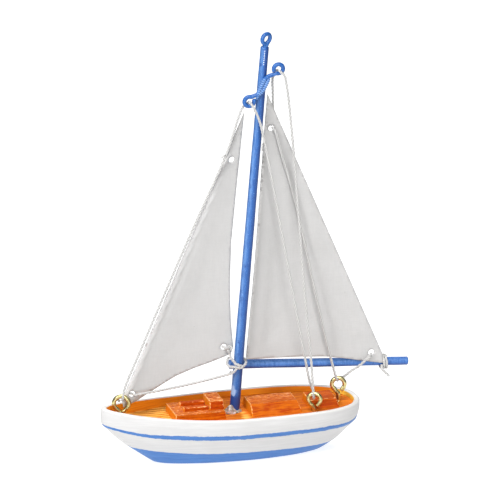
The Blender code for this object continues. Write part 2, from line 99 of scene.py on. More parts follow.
class Paint:
    """A material and short calls for its nodes. Lengths in its patterns are in millimetres."""

    def __init__(self, name, **sockets):
        self.material = bpy.data.materials.new(name)
        self.material.use_nodes = True
        self.tree = self.material.node_tree
        self.shader = self.tree.nodes["Principled BSDF"]
        for key, value in sockets.items():
            self.shader.inputs[key.replace("_", " ")].default_value = value
        self.place = self.node("TexCoord").outputs["Object"]

    def node(self, kind, links=(), **settings):
        made = self.tree.nodes.new("ShaderNode" + kind)
        for key, value in settings.items():
            setattr(made, key, value)
        for socket, value in dict(links).items():
            self.feed(made.inputs[socket], value)
        return made

    def feed(self, socket, value):
        if isinstance(value, bpy.types.NodeSocket):
            self.tree.links.new(value, socket)
        elif isinstance(value, tuple) and len(value) == 3 and socket.type == "RGBA":
            socket.default_value = (*value, 1.0)
        else:
            socket.default_value = value

    def mark(self, name):
        """The value that the mesh's points carry under this name."""
        return self.node("Attribute", attribute_name=name).outputs["Fac"]

    def noise(self, size, stretch=(1, 1, 1), detail=4.0, rough=0.55):
        """Values round 0.5 that change over size millimetres, times stretch along each axis."""
        scaled = self.node("Mapping", {
            "Vector": self.place, "Scale": tuple(1 / (size * MM * s) for s in stretch),
        }).outputs["Vector"]
        return self.node("TexNoise", {
            "Vector": scaled, "Scale": 1.0, "Detail": detail, "Roughness": rough,
        }).outputs["Fac"]

    def math(self, operation, a, b=0.0, c=0.0):
        made = self.node("Math", operation=operation)
        for socket, value in zip(made.inputs, (a, b, c)):
            self.feed(socket, value)
        return made.outputs[0]

    def add(self, a, b):
        return self.math("ADD", a, b)

    def times(self, a, b):
        return self.math("MULTIPLY", a, b)

    def step(self, value, low, high, out_low=0.0, out_high=1.0):
        """A smooth step from out_low at low to out_high at high."""
        return self.node("MapRange", {
            "Value": value, "From Min": low, "From Max": high, "To Min": out_low, "To Max": out_high,
        }, interpolation_type="SMOOTHSTEP").outputs["Result"]

    def mix(self, share, a, b):
        """Colour a, with this share of colour b in it."""
        made = self.node("Mix", data_type="RGBA")
        for socket, value in zip((made.inputs[0], made.inputs[6], made.inputs[7]), (share, a, b)):
            self.feed(socket, value)
        return made.outputs[2]

    def tint(self, value, low, high, a, b, most=1.0):
        """Colour a where value is below low, turning to b above high, but never more than most of b."""
        return self.mix(self.step(value, low, high, 0.0, most), a, b)

    def spread(self, value, reach):
        """A noise value moved to lie from -reach to reach."""
        return self.math("MULTIPLY_ADD", value, 2 * reach, -reach)

    def wave(self, size, axis, bend):
        """Bands every size millimetres across an axis, bent a little."""
        return self.node("TexWave", {
            "Vector": self.place, "Scale": 1 / (size * MM) / WAVES_PER_UNIT, "Distortion": bend, "Detail": 1.0,
        }, bands_direction=axis).outputs["Fac"]

    def finish(self, colour, rough=None, height=None, depth=0.0):
        self.feed(self.shader.inputs["Base Color"], colour)
        if rough is not None:
            self.feed(self.shader.inputs["Roughness"], rough)
        if height is not None:
            bump = self.node("Bump", {"Height": height, "Strength": 1.0, "Distance": depth * MM})
            self.feed(self.shader.inputs["Normal"], bump.outputs["Normal"])
        return self.material


WHITE_PAINT = (0.625, 0.62, 0.617)
DEEP_BLUE = (0.014, 0.055, 0.24)
PALE_BLUE = (0.26, 0.46, 0.80)
BULWARK = (0.96, 0.34, 0.014)
BULWARK_DARK = (0.80, 0.23, 0.008)
PLANK = (0.97, 0.56, 0.13)
PLANK_DARK = (0.90, 0.38, 0.04)
CABIN = (0.63, 0.142, 0.002)
CABIN_DARK = (0.42, 0.050, 0.001)
CABIN_PALE = (0.98, 0.53, 0.21)


def hull_paint():
    p = Paint("hull_paint_brushed", Roughness=0.42, Specular_IOR_Level=0.3)
    stroke = p.noise(1.1, (9, 9, 0.6))
    patch = p.noise(14)
    white = p.tint(stroke, 0.35, 0.7, (0.58, 0.575, 0.572), WHITE_PAINT)
    white = p.tint(patch, 0.45, 0.75, white, (0.54, 0.53, 0.515), 0.35)
    blue = p.tint(stroke, 0.3, 0.7, (0.050, 0.160, 0.445), (0.074, 0.205, 0.51))
    ragged = p.spread(p.noise(1.3, (2.0, 2.0, 1), 6.0, 0.7), 0.6)
    slow = p.spread(p.noise(11), 0.5)
    from_line = p.math("ABSOLUTE", p.add(p.mark("stripe"), p.math("MULTIPLY_ADD", slow, 0.5, 0.28)))
    stripe = p.step(p.add(from_line, ragged), 1.06, 0.94)
    above = p.add(p.mark("draft"), p.times(ragged, 0.5))
    bottom = p.step(p.add(above, p.times(slow, 0.8)), 0.10, -0.05)
    painted = p.mix(p.math("MAXIMUM", stripe, bottom), white, blue)
    grain = p.noise(0.9, (14, 14, 0.5), 5.0)
    stain = p.tint(grain, 0.35, 0.68, BULWARK_DARK, BULWARK)
    stain = p.tint(p.noise(6, (3, 3, 1)), 0.45, 0.7, stain, (0.92, 0.36, 0.02), 0.6)
    # A painted highlight along the hull's top edge, paler than the white paint.
    painted = p.mix(p.mark("rail_highlight"), painted, (0.75, 0.735, 0.715))
    stain = p.mix(p.mark("aft"), stain, (0.95, 0.62, 0.08))
    edge = p.add(p.mark("inside"), p.times(ragged, 0.35))
    colour = p.tint(edge, 0.46, 0.54, painted, stain)
    height = p.add(stroke, p.times(p.math("MAXIMUM", stripe, bottom), 0.5))
    return p.finish(colour, p.step(stroke, 0.2, 0.8, 0.36, 0.52), height, 0.07)


def deck_paint():
    p = Paint("deck_paint_planks", Specular_IOR_Level=0.06)
    grain = p.noise(0.55, (16, 1, 1), 5.0)
    colour = p.tint(grain, 0.36, 0.64, PLANK_DARK, PLANK)
    colour = p.tint(p.noise(7, (2, 1, 1)), 0.42, 0.7, colour, (0.98, 0.55, 0.11), 0.8)
    stain = p.tint(grain, 0.36, 0.64, (0.48, 0.085, 0.004), (0.80, 0.24, 0.016))
    golden = p.add(p.mark("golden"), p.spread(p.noise(3, (3, 1, 1)), 0.5))
    colour = p.tint(golden, 0.35, 0.65, stain, colour)
    colour = p.tint(p.mark("groove"), 0.15, 0.7, colour, (0.42, 0.085, 0.003))
    return p.finish(colour, p.step(grain, 0.3, 0.7, 0.45, 0.62), grain, 0.12)


def cabin_paint():
    p = Paint("cabin_paint_worn", Roughness=0.4, Specular_IOR_Level=0.08)
    grain = p.noise(0.5, (12, 1, 1), 5.0)
    speck = p.noise(0.8, (2.2, 1, 1), 6.0, 0.7)
    colour = p.tint(grain, 0.36, 0.66, CABIN_DARK, CABIN)
    colour = p.tint(p.noise(5), 0.45, 0.7, colour, (0.66, 0.165, 0.008), 0.5)
    red = p.tint(grain, 0.36, 0.66, (0.36, 0.028, 0.001), (0.55, 0.078, 0.002))
    colour = p.mix(p.mark("red"), colour, red)
    front = p.tint(speck, 0.3, 0.7, (0.76, 0.21, 0.006), (0.90, 0.30, 0.014))
    colour = p.mix(p.mark("front"), colour, front)
    top = p.tint(speck, 0.38, 0.54, (0.34, 0.032, 0.012), (0.68, 0.20, 0.028))
    top = p.tint(speck, 0.55, 0.62, top, (0.92, 0.50, 0.27), 0.9)
    colour = p.mix(p.mark("top"), colour, top)
    rub = p.add(p.mark("edge"), p.math("MULTIPLY_ADD", speck, 2.4, -1.15))
    colour = p.tint(rub, 0.42, 0.10, colour, CABIN_PALE, 0.9)
    height = p.add(grain, p.times(p.times(speck, p.mark("top")), 2.0))
    return p.finish(colour, p.step(speck, 0.3, 0.7, 0.3, 0.55), height, 0.16)


def spar_paint(name="spar_paint_brushed", film_highlight=0.0, dark=(0.013, 0.088, 0.33), light=(0.026, 0.128, 0.41)):
    """Brushed blue with specks of wear, painted highlight, painted shade and painted glints on thread crests. The
    second argument is how much shows of the whitish glue smear over the mast's foot, painted as a highlight on its
    lit side.
    """
    p = Paint(name, Roughness=0.38, Specular_IOR_Level=0.35, Coat_Weight=0.12, Coat_Roughness=0.25)
    stroke = p.noise(0.8, (1, 1, 8))
    speck = p.noise(0.32, (1, 1, 1.5), 3.0, 0.7)
    colour = p.tint(stroke, 0.3, 0.7, dark, light)
    colour = p.tint(p.noise(3.2), 0.52, 0.75, colour, DEEP_BLUE, 0.5)
    colour = p.tint(speck, 0.60, 0.70, colour, PALE_BLUE, 0.8)
    # Thread crests paler: partly rubbed paint, partly painted highlight. Past 1.2 the mark gives near-white
    # painted glints.
    colour = p.mix(p.times(p.mark("wear_and_glint"), 0.65), colour, (0.34, 0.54, 0.84))
    colour = p.tint(p.mark("wear_and_glint"), 1.2, 1.5, colour, (0.86, 0.92, 1.0))
    # Painted highlight where the pale mark is, painted shade where the deep mark is; spar() sets both by which
    # side of the bar faces the light.
    colour = p.mix(p.times(p.mark("pale"), p.step(stroke, 0.25, 0.65, 0.1, 0.4)), colour, PALE_BLUE)
    colour = p.mix(p.times(p.mark("deep"), 0.85), colour, DEEP_BLUE)
    # A whitish glue smear over the mast's foot, painted as a highlight on its lit left side. The foot mark turns
    # the lowest few millimetres by the deck deep blue.
    if film_highlight:
        lit_film = p.add(p.mark("film_highlight"), p.spread(p.noise(1.1, (1, 1, 2), 6.0), 0.9))
        foot = p.add(p.mark("foot"), p.spread(p.noise(2.0), 0.4))
        colour = p.tint(foot, 0.05, 0.25, colour, DEEP_BLUE)
        colour = p.tint(lit_film, 0.45, 0.85, colour, (0.46, 0.60, 0.84), film_highlight)
    height = p.add(stroke, p.times(speck, 0.8))
    return p.finish(colour, p.step(speck, 0.3, 0.7, 0.28, 0.5), height, 0.07)


def brass():
    p = Paint("brass_bright", Metallic=1.0, Specular_Tint=(0.42, 0.37, 0.18, 1))
    dull = p.noise(1.1, detail=5.0)
    draw = p.noise(0.25, detail=3.0)
    colour = p.tint(dull, 0.4, 0.7, (0.80, 0.71, 0.36), (0.58, 0.49, 0.20))
    colour = p.tint(p.noise(0.7), 0.58, 0.75, colour, (0.36, 0.30, 0.12), 0.5)
    return p.finish(colour, p.step(dull, 0.35, 0.7, 0.24, 0.40), draw, 0.04)


def cloth():
    p = Paint("sail_cloth_woven", Roughness=0.9, Specular_IOR_Level=0.2)
    across, along = p.wave(0.42, "X", 0.6), p.wave(0.42, "Z", 0.6)
    weave = p.times(across, along)
    warp, weft = p.noise(0.5, (1, 1, 7)), p.noise(0.5, (7, 1, 1))
    shade = p.add(p.times(warp, 0.5), p.times(weft, 0.5))
    colour = p.tint(shade, 0.38, 0.62, (0.52, 0.515, 0.51), (0.55, 0.545, 0.54))
    colour = p.mix(p.step(weave, 0.0, 0.7, 0.10, 0.0), colour, (0.50, 0.49, 0.48))
    colour = p.tint(p.noise(16), 0.4, 0.7, colour, (0.45, 0.445, 0.44), 0.3)
    colour = p.tint(p.noise(1.0, detail=2.0), 0.76, 0.80, colour, (0.22, 0.21, 0.20), 0.6)
    # Greyer where the mark says: on the mainsail a painted shade beside the mast, on the jib grey all over and
    # more so towards its head.
    colour = p.mix(p.mark("shade_and_grey"), colour, (0.34, 0.335, 0.33))
    # A painted highlight along the jib's folded luff edge.
    colour = p.mix(p.mark("hem"), colour, (0.68, 0.675, 0.67))
    height = p.add(weave, p.times(shade, 0.8))
    return p.finish(colour, None, height, 0.02)


def cotton():
    p = Paint("string_cotton", Roughness=0.92, Specular_IOR_Level=0.2)
    fibre = p.noise(0.18, detail=3.0)
    colour = p.tint(fibre, 0.35, 0.65, (0.48, 0.475, 0.465), (0.61, 0.605, 0.595))
    # Painted shade in the grooves between the twisted strands.
    colour = p.tint(p.mark("valley_shade"), 0.12, 0.45, colour, (0.25, 0.245, 0.235), 0.8)
    return p.finish(colour, None, fibre, 0.05)


def glue():
    p = Paint("glue_cloudy", Roughness=0.3, Subsurface_Weight=0.35, Subsurface_Scale=0.0015, Coat_Weight=0.3)
    cloud = p.noise(1.2)
    colour = p.tint(cloud, 0.4, 0.64, (0.30, 0.24, 0.21), (0.62, 0.56, 0.52))
    colour = p.tint(p.noise(0.9), 0.6, 0.74, colour, (0.22, 0.24, 0.36), 0.5)
    return p.finish(colour, p.step(cloud, 0.3, 0.7, 0.2, 0.42), cloud, 0.2)


# ---- meshes


def piece(name, points, faces, paint, body, stands_for=None, marks=None):
    """A mesh piece from points in millimetres, which rides on a body when one is named and otherwise stays
    where it is made. marks are values at the points for the paint to read."""
    mesh = bpy.data.meshes.new(name)
    mesh.from_pydata([Vector(p) * MM for p in points], [], faces)
    for key, values in (marks or {}).items():
        mesh.attributes.new(key, "FLOAT", "POINT").data.foreach_set("value", np.array(values, np.float32))
    shell = bmesh.new()
    shell.from_mesh(mesh)
    bmesh.ops.recalc_face_normals(shell, faces=shell.faces)
    shell.to_mesh(mesh)
    shell.free()
    mesh.shade_smooth()
    mesh.materials.append(paint)
    made = place_in_scene(name, mesh)
    if isinstance(body, str):
        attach(made, body)
    else:
        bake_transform(made)
    if stands_for:
        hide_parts(stands_for)
    return made


def wobble(point, size, reach):
    """A small shift of a point that changes smoothly over size millimetres. noise_vector starts from the
    clock, so the shifts aren't quite the same in every run."""
    return noise.noise_vector(Vector(point) / size) * reach


def smooth_route(points, step=0.3):
    """Points step apart along a smooth curve through the given ones (a centripetal Catmull-Rom curve)."""
    points = [Vector(p) for p in points]
    ends = [points[0] * 2 - points[1]] + points + [points[-1] * 2 - points[-2]]
    fine = [points[0]]
    for a, b, c, d in zip(ends, ends[1:], ends[2:], ends[3:]):
        t1 = (b - a).length ** 0.5
        t2 = t1 + (c - b).length ** 0.5
        t3 = t2 + (d - c).length ** 0.5
        count = max(2, ceil((c - b).length / (step / 3)))
        for i in range(1, count + 1):
            t = t1 + (t2 - t1) * i / count
            ab, bc, cd = a.lerp(b, t / t1), b.lerp(c, (t - t1) / (t2 - t1)), c.lerp(d, (t - t2) / (t3 - t2))
            fine.append(ab.lerp(bc, t / t2).lerp(bc.lerp(cd, (t - t1) / (t3 - t1)), (t - t1) / (t2 - t1)))
    return respace(fine, step)


def respace(points, step):
    """The same line with its points evenly spaced."""
    line = np.array([tuple(p) for p in points])
    run = np.concatenate([[0], np.cumsum(np.linalg.norm(np.diff(line, axis=0), axis=1))])
    count = max(2, round(run[-1] / step))
    at = np.linspace(0, run[-1], count + 1)
    return [Vector(p) for p in np.stack([np.interp(at, run, line[:, k]) for k in range(3)], axis=1)]


def run_length(points):
    return sum((b - a).length for a, b in zip(points, points[1:]))


def frames(points):
    """Along a line: each point's direction and two sides that don't spin round it."""
    ahead = [(b - a).normalized() for a, b in zip(points, points[1:])]
    ahead = [ahead[0]] + [(a + b).normalized() for a, b in zip(ahead, ahead[1:])] + [ahead[-1]]
    side = ahead[0].orthogonal().normalized()
    made = []
    for way in ahead:
        side = (side - way * side.dot(way)).normalized()
        made.append((way, side, way.cross(side)))
    return made


def grid_faces(rows, columns, closed):
    """Faces between rows of points. In a closed grid a row's last point joins its first."""
    return [
        (r + i, r + (i + 1) % columns, r + columns + (i + 1) % columns, r + columns + i)
        for r in range(0, (rows - 1) * columns, columns) for i in range(columns if closed else columns - 1)
    ]


def tube(points, radius, sides, ends=0.3):
    """Points and faces of a round bar along a line. radius is a number, or a function of the distance
    along it and the turn round it. Its ends are rounded over the given length."""
    total, run = run_length(points), 0.0
    made = []
    for i, (point, (_, side, up)) in enumerate(zip(points, frames(points))):
        run += (point - points[i - 1]).length if i else 0.0
        near = min(1.0, run / ends, (total - run) / ends)
        taper = max(0.25, sqrt(max(0.0, 1 - (1 - near) ** 2)))
        for k in range(sides):
            turn = tau * k / sides
            r = (radius(run, turn) if callable(radius) else radius) * taper
            made.append(point + (side * cos(turn) + up * sin(turn)) * r)
    caps = [tuple(range(sides - 1, -1, -1)), tuple(range(len(made) - sides, len(made)))]
    return made, grid_faces(len(points), sides, True) + caps


def join(*parts):
    points, faces = [], []
    for some_points, some_faces in parts:
        faces += [tuple(i + len(points) for i in face) for face in some_faces]
        points += some_points
    return points, faces


STRAND, LAY = 0.278, 5.0  # each of the three strands' radius, and the length of one full twist
STRAND_SIDES = 8


def rope(points, lay=LAY, strand=STRAND):
    """Three strands twisted round each other along a line, and how deep in between them each point lies."""
    parts, valleys = [], []
    run = 0.0
    lines = [[], [], []]
    for i, (point, (_, side, up)) in enumerate(zip(points, frames(points))):
        run += (point - points[i - 1]).length if i else 0.0
        for k in range(3):
            turn = tau * (run / lay + k / 3)
            lines[k].append(point + (side * cos(turn) + up * sin(turn)) * strand * 0.92)
    for line in lines:
        part = tube(line, lambda d, turn: strand * (1 + 0.05 * sin(7.1 * d)), STRAND_SIDES)
        parts.append(part)
        for i, p in enumerate(part[0]):
            away = (p - points[i // STRAND_SIDES]).length
            valleys.append(1 - min(1.0, away / (strand * 1.93)))
    return join(*parts), valleys


# ---- hull and deck

WIDEST_X = 6.0
# fullness of a waterline: at its bow and stern ends, then towards the bow and the stern amidships
BOTTOM = (0.46, 0.76, 0.50, 0.44)
TOPSIDE = (0.38, 0.85, 0.55, 0.39)
LEVELS = (  # bow, stern, beam, heights at bow, amidships and stern, and fullness
    (-29.0, 34.3, 7.6, (0.0, 0.0, 0.0), BOTTOM),
    (-31.8, 37.8, 9.3, (1.0, 0.7, 1.0), BOTTOM),
    (-42.0, 43.2, 12.2, (8.3, 5.0, 4.2), BOTTOM),
    (-47.6, 47.6, 14.6, (13.2, 9.2, 8.3), BOTTOM),
    (-52.2, 51.2, 16.9, (18.0, 13.3, 12.4), TOPSIDE),
    (-52.6, 52.4, 18.0, (21.4, 17.1, 16.4), TOPSIDE),
    (-52.5, 52.5, 18.2, (24.15, 20.25, 19.45), TOPSIDE),
)
INNER_RAIL = (-50.1, 50.2, 16.6, (24.7, 20.8, 20.0), TOPSIDE)
WELL = (-49.6, 49.8, 16.1, None, TOPSIDE)
STRIPE_THINS_BY = 0.44  # of its width, at the bow
STRIPE_STERN_LIFT, STRIPE_BOW_DROP, BOTTOM_AFT_DROP = 2.3, 0.7, 0.35  # of the painted lines, from their levels
BOTTOM_PAINT_LEVEL, STRIPE_LEVEL = LEVELS[2], LEVELS[4]  # the painted lines run along these
UNPAINTED = 9.0  # a height far above both painted lines
QUARTER = 40  # points in a quarter of a waterline
DECK_Z = 18.2  # the deck's height, which rises towards the bow
DECK_RISES_AT, DECK_RISE = -25.0, 2.0
WELL_DEPTH = 3.3  # below the deck's top


def bezier(a, b, c, d, t):
    """The place at t, from 0 to 1, on a curve from a to d that leaves towards b and arrives from c."""
    s = 1.0 - t
    return a * s**3 + 3 * b * s * s * t + 3 * c * s * t * t + d * t**3


def half_waterline(bow, stern, beam, shape):
    bow_full, stern_full, bow_shoulder, stern_shoulder = shape
    fore, aft = WIDEST_X - bow, stern - WIDEST_X
    points = []
    for corners in (
        ((bow, 0), (bow, beam * bow_full), (bow + fore * bow_shoulder, beam), (WIDEST_X, beam)),
        ((WIDEST_X, beam), (stern - aft * stern_shoulder, beam), (stern, beam * stern_full), (stern, 0)),
    ):
        corners = [Vector(c) for c in corners]
        points += [bezier(*corners, i / QUARTER) for i in range(QUARTER)]
    return points + [Vector((stern, 0))]


def level_height(x, bow, stern, heights):
    at_bow, amidships, at_stern = heights
    if x < WIDEST_X:
        return amidships + (at_bow - amidships) * ((WIDEST_X - x) / (WIDEST_X - bow)) ** 2
    return amidships + (at_stern - amidships) * ((x - WIDEST_X) / (stern - WIDEST_X)) ** 2


def deck_height(x):
    return DECK_Z + DECK_RISE * (max(0.0, DECK_RISES_AT - x) / -DECK_RISES_AT) ** 2


def level_ring(bow, stern, beam, heights, shape):
    """A whole waterline. One without heights lies under the deck."""
    half = half_waterline(bow, stern, beam, shape)
    if heights is None:
        side = [(p.x, p.y, deck_height(p.x) - WELL_DEPTH) for p in half]
    else:
        side = [(p.x, p.y, level_height(p.x, bow, stern, heights)) for p in half]
    return np.array(side + [(x, -y, z) for x, y, z in reversed(side[1:-1])])


def make_hull(paint):
    knots = [level_ring(*level) for level in LEVELS]
    rings, inside = [], []
    for k in range(len(knots) - 1):
        before, after = knots[max(0, k - 1)], knots[min(len(knots) - 1, k + 2)]
        a, b = knots[k], knots[k + 1]
        lean_a, lean_b = (b - before) * 0.25, (after - a) * 0.25
        for i in range(6):
            t = i / 6
            ring = (
                a * (2 * t**3 - 3 * t**2 + 1) + b * (3 * t**2 - 2 * t**3)
                + lean_a * (t**3 - 2 * t**2 + t) + lean_b * (t**3 - t**2)
            )
            rings.append(ring)
            inside.append(0.0)
    outer = level_ring(*LEVELS[-1]) + np.array((0, 0, 0.55))
    inner, well = level_ring(*INNER_RAIL), level_ring(*WELL)
    for share, drop in ((0, .55), (.04, .3), (.12, .1), (.28, 0), (.5, -.02), (.72, 0), (.88, .1), (.96, .3)):
        rings.append(outer * (1 - share) + inner * share - np.array((0, 0, drop)))
        inside.append(0.0 if share < 0.9 else 0.5)
    top = inner - np.array((0, 0, 0.55))
    for i in range(9):
        rings.append(top * (1 - i / 8) + well * i / 8)
        inside.append(1.0)
    count = len(rings[0])
    points, stripe, draft, within, aft, rail_highlight = [], [], [], [], [], []
    paint_bow, paint_stern, _, paint_heights, _ = BOTTOM_PAINT_LEVEL
    line_bow, line_stern, _, line_heights, _ = STRIPE_LEVEL
    rail_bow, rail_stern, _, rail_heights, _ = INNER_RAIL
    for ring, share in zip(rings, inside):
        for x, y, z in ring:
            p = Vector((x, y, z))
            move = wobble(p, 7.0, 0.10)
            if z < 0.5:
                move.z = 0.0
            points.append(p + move)
            thin = 1 - STRIPE_THINS_BY * clamp((-25 - x) / 22)
            lift = STRIPE_STERN_LIFT * max(0.0, (x - 46) / 6) ** 2 - STRIPE_BOW_DROP * bell(x, -37, 11)
            over_line = (z - lift - level_height(x, line_bow, line_stern, line_heights)) / thin
            low = BOTTOM_AFT_DROP * clamp((x - 5) / 20)
            over_bottom = z + low - level_height(x, paint_bow, paint_stern, paint_heights)
            stripe.append(over_line if share == 0 else UNPAINTED)
            draft.append(over_bottom if share == 0 else UNPAINTED)
            within.append(share)
            aft.append(clamp((x - 44) / 4))
            # Strongest at the top edge's height, where the painted highlight goes.
            rail_highlight.append(bell(z - level_height(x, rail_bow, rail_stern, rail_heights), 0.0, 0.5))
    faces = grid_faces(len(rings), count, True)
    half = count // 2
    for first in (0, (len(rings) - 1) * count):
        faces.append((first, first + 1, first + count - 1))
        faces += [(first + i, first + i + 1, first + count - i - 1, first + count - i) for i in range(1, half - 1)]
        faces.append((first + half - 1, first + half, first + half + 1))
    marks = {"stripe": stripe, "draft": draft, "inside": within, "aft": aft, "rail_highlight": rail_highlight}
    piece("hull_shell", points, faces, paint, "boat", "hull", marks)


PLANK_WIDTH = 2.1
GROOVE_DEPTH = 0.32
DECK_THICKNESS = 1.5


def make_deck(paint):
    half = half_waterline(WELL[0], WELL[1], WELL[2] + 0.35, WELL[4])
    beam_x, beam_y = [p.x for p in half], [p.y for p in half]
    columns, rows = 144, 150
    points, groove, golden = [], [], []
    for i in range(rows + 1):
        x = WELL[0] + 0.02 + (WELL[1] - WELL[0] - 0.04) * (0.5 - 0.5 * cos(pi * i / rows))
        reach = float(np.interp(x, beam_x, beam_y))
        for j in range(columns + 1):
            y = reach * (2 * j / columns - 1)
            sway = noise.noise(Vector((x / 9, y / 3, 0))) * 0.25
            seam = abs((y + sway) / PLANK_WIDTH - floor((y + sway) / PLANK_WIDTH) - 0.5) * PLANK_WIDTH
            plain = 0.12 + 0.88 * clamp((-20 - x) / 4)
            deep = max(0.0, 1 - (PLANK_WIDTH / 2 - seam) / 0.65)
            z = deck_height(x) - GROOVE_DEPTH * deep * plain + noise.noise(Vector((x / 2.5, y, 5))) * 0.06
            points.append(Vector((x, y, z)))
            groove.append(deep * plain)
            fore = (-20.0 - x) / 4
            by_mast = 0.6 - abs(x - 4.5) / 9.0 - max(0.0, y + 2.0) / 3.0
            golden.append(clamp(max(fore, by_mast)))
    wide = columns + 1
    faces = grid_faces(rows + 1, wide, False)
    rim = list(range(wide)) + [i * wide + columns for i in range(1, rows + 1)]
    rim += [rows * wide + j for j in range(columns - 1, -1, -1)] + [i * wide for i in range(rows - 1, 0, -1)]
    low = len(points)
    points += [points[i] - Vector((0, 0, DECK_THICKNESS)) for i in rim]
    groove += [0.0] * len(rim)
    golden += [0.0] * len(rim)
    for k in range(len(rim)):
        n = (k + 1) % len(rim)
        faces.append((rim[k], rim[n], low + n, low + k))
    faces.append(tuple(range(low, low + len(rim))))
    marks = {"groove": groove, "golden": golden}
    piece("deck_planking", points, faces, paint, "boat", "deck", marks)


# ---- deck houses


HOUSE_CELL = 0.33
HOUSE_SUNK = 0.5  # how far a house's bottom lies under the surface it stands on


def block(name, node, fore, aft, bottom_half, top_half, top, aft_rake, paint, bottom=DECK_Z, y=0.0, worn_top=1.0,
          radius=0.32, red=0.0, long_edge=1.6, near_worn=1.0):
    """A hand-cut block with leaning sides, rounded edges and a rough top."""
    size = Vector((aft - fore, 2 * bottom_half, top - bottom + HOUSE_SUNK))
    counts = [max(6, round(s / HOUSE_CELL)) for s in size]
    index, points, edge, lid, front = {}, [], [], [], []
    faces = []

    def corner(key):
        if key not in index:
            at = Vector([size[k] * (key[k] / counts[k] - 0.5) for k in range(3)])
            inner = Vector([max(-size[k] / 2 + radius, min(size[k] / 2 - radius, at[k])) for k in range(3)])
            at = inner + (at - inner).normalized() * radius
            away = sorted(size[k] / 2 - abs(at[k]) for k in range(3))
            up = at.z / size.z + 0.5
            taper = 1 + (top_half / bottom_half - 1) * up
            behind = (at.x / size.x + 0.5) * aft_rake * up
            height = bottom - HOUSE_SUNK + size.z * up
            world = Vector(((fore + aft) / 2 + at.x - behind, y + at.y * taper, height))
            index[key] = len(points)
            points.append(world + wobble(world, 1.6, 0.09) + wobble(world, 0.6, 0.045))
            long_side = size.x / 2 - abs(at.x) > away[1]
            edge.append(away[1] + (long_edge - 1) * 0.3 * long_side if up > 0.3 else 3.0)
            far = max(near_worn, min(1.0, 0.55 + 1.4 * at.y / size.y))
            lid.append(worn_top * far if up > 0.97 else 0.0)
            front.append(1.0 if key[0] == 0 else 0.0)
        return index[key]

    for axis in range(3):
        u, v = (axis + 1) % 3, (axis + 2) % 3
        for end in (0, counts[axis]):
            for i in range(counts[u]):
                for j in range(counts[v]):
                    keys = []
                    for di, dj in ((0, 0), (1, 0), (1, 1), (0, 1)):
                        key = [0, 0, 0]
                        key[axis], key[u], key[v] = end, i + di, j + dj
                        keys.append(corner(tuple(key)))
                    faces.append(tuple(keys))
    marks = {"edge": edge, "top": lid, "front": front, "red": [red] * len(edge)}
    piece(name, points, faces, paint, "boat", node, marks)


def make_houses(paint):
    block("forward_cabin_block", "forward_cabin", -24.0, -3.4, 8.0, 7.5, 21.5, 0.3, paint,
          worn_top=0.75, long_edge=1.8)
    for side, y in (("port", -3.1), ("starboard", 3.1)):
        block(f"hatch_rail_{side}_bar", f"hatch_rail_{side}", -19.8, -9.6, 1.15, 1.1, 23.0, 0.0, paint,
              bottom=21.6, y=y, worn_top=0.0, radius=0.4, red=0.6)
    block("forward_hatch_block", "forward_hatch", -9.5, -3.7, 5.4, 5.0, 25.2, 0.2, paint,
          bottom=21.6, red=0.9, long_edge=1.0)
    block("main_cabin_block", "main_cabin", 7.2, 27.8, 8.9, 4.75, 22.2, 1.6, paint, long_edge=2.6, near_worn=0.25)
    block("aft_cabin_block", "aft_cabin", 31.4, 43.2, 6.6, 4.6, 21.5, 0.8, paint, worn_top=0.12, red=0.6)


# ---- spars

MAST_FOOT = Vector((1.95, 0.0, DECK_Z))
MAST_LENGTH, MAST_TENON = 152.4, 6  # above the deck, and into it
MAST_RAKE, BOOM_DROOP = radians(4.7), radians(4.5)
MAST_UP = Vector((sin(MAST_RAKE), 0.0, cos(MAST_RAKE)))
BOOM_BACK = Vector((cos(BOOM_DROOP), 0.0, -sin(BOOM_DROOP)))
BOOM_CROSSING = Vector((3.9, 4.2, 36.2))  # where the boom's middle line passes the mast
SPAR_SIDES = 32


def spar(start, way, length, foot, head, bend, seed, shade_way):
    """A whittled round bar, a little uneven in line and thickness, with painted shade on one side and a painted
    highlight on the other.
    """
    points = []
    count = round(length / 0.7)
    ends = [d for near in (0.06, 0.18, 0.36) for d in (near, length - near)]
    for run in sorted([length * i / count for i in range(count + 1)] + ends):
        point = start + way * run
        points.append(point + wobble(point + Vector((seed, 0, 0)), 22, bend))

    def radius(run, turn):
        lump = noise.noise(Vector((run / 5, cos(turn), sin(turn) + seed)))
        return foot + (head - foot) * run / length + lump * 0.05

    made, faces = tube(points, radius, SPAR_SIDES, 0.36)
    marks = {"pale": [], "deep": []}
    for i, p in enumerate(made):
        # Painted highlight (pale) on the side turned from the given way, painted shade (deep) on the side turned
        # towards it.
        across = (p - points[i // SPAR_SIDES]).normalized().dot(Vector(shade_way))
        marks["pale"].append(bell(across, -0.5, 0.35))
        marks["deep"].append(clamp((across - 0.1) / 0.8))
    return made, faces, marks


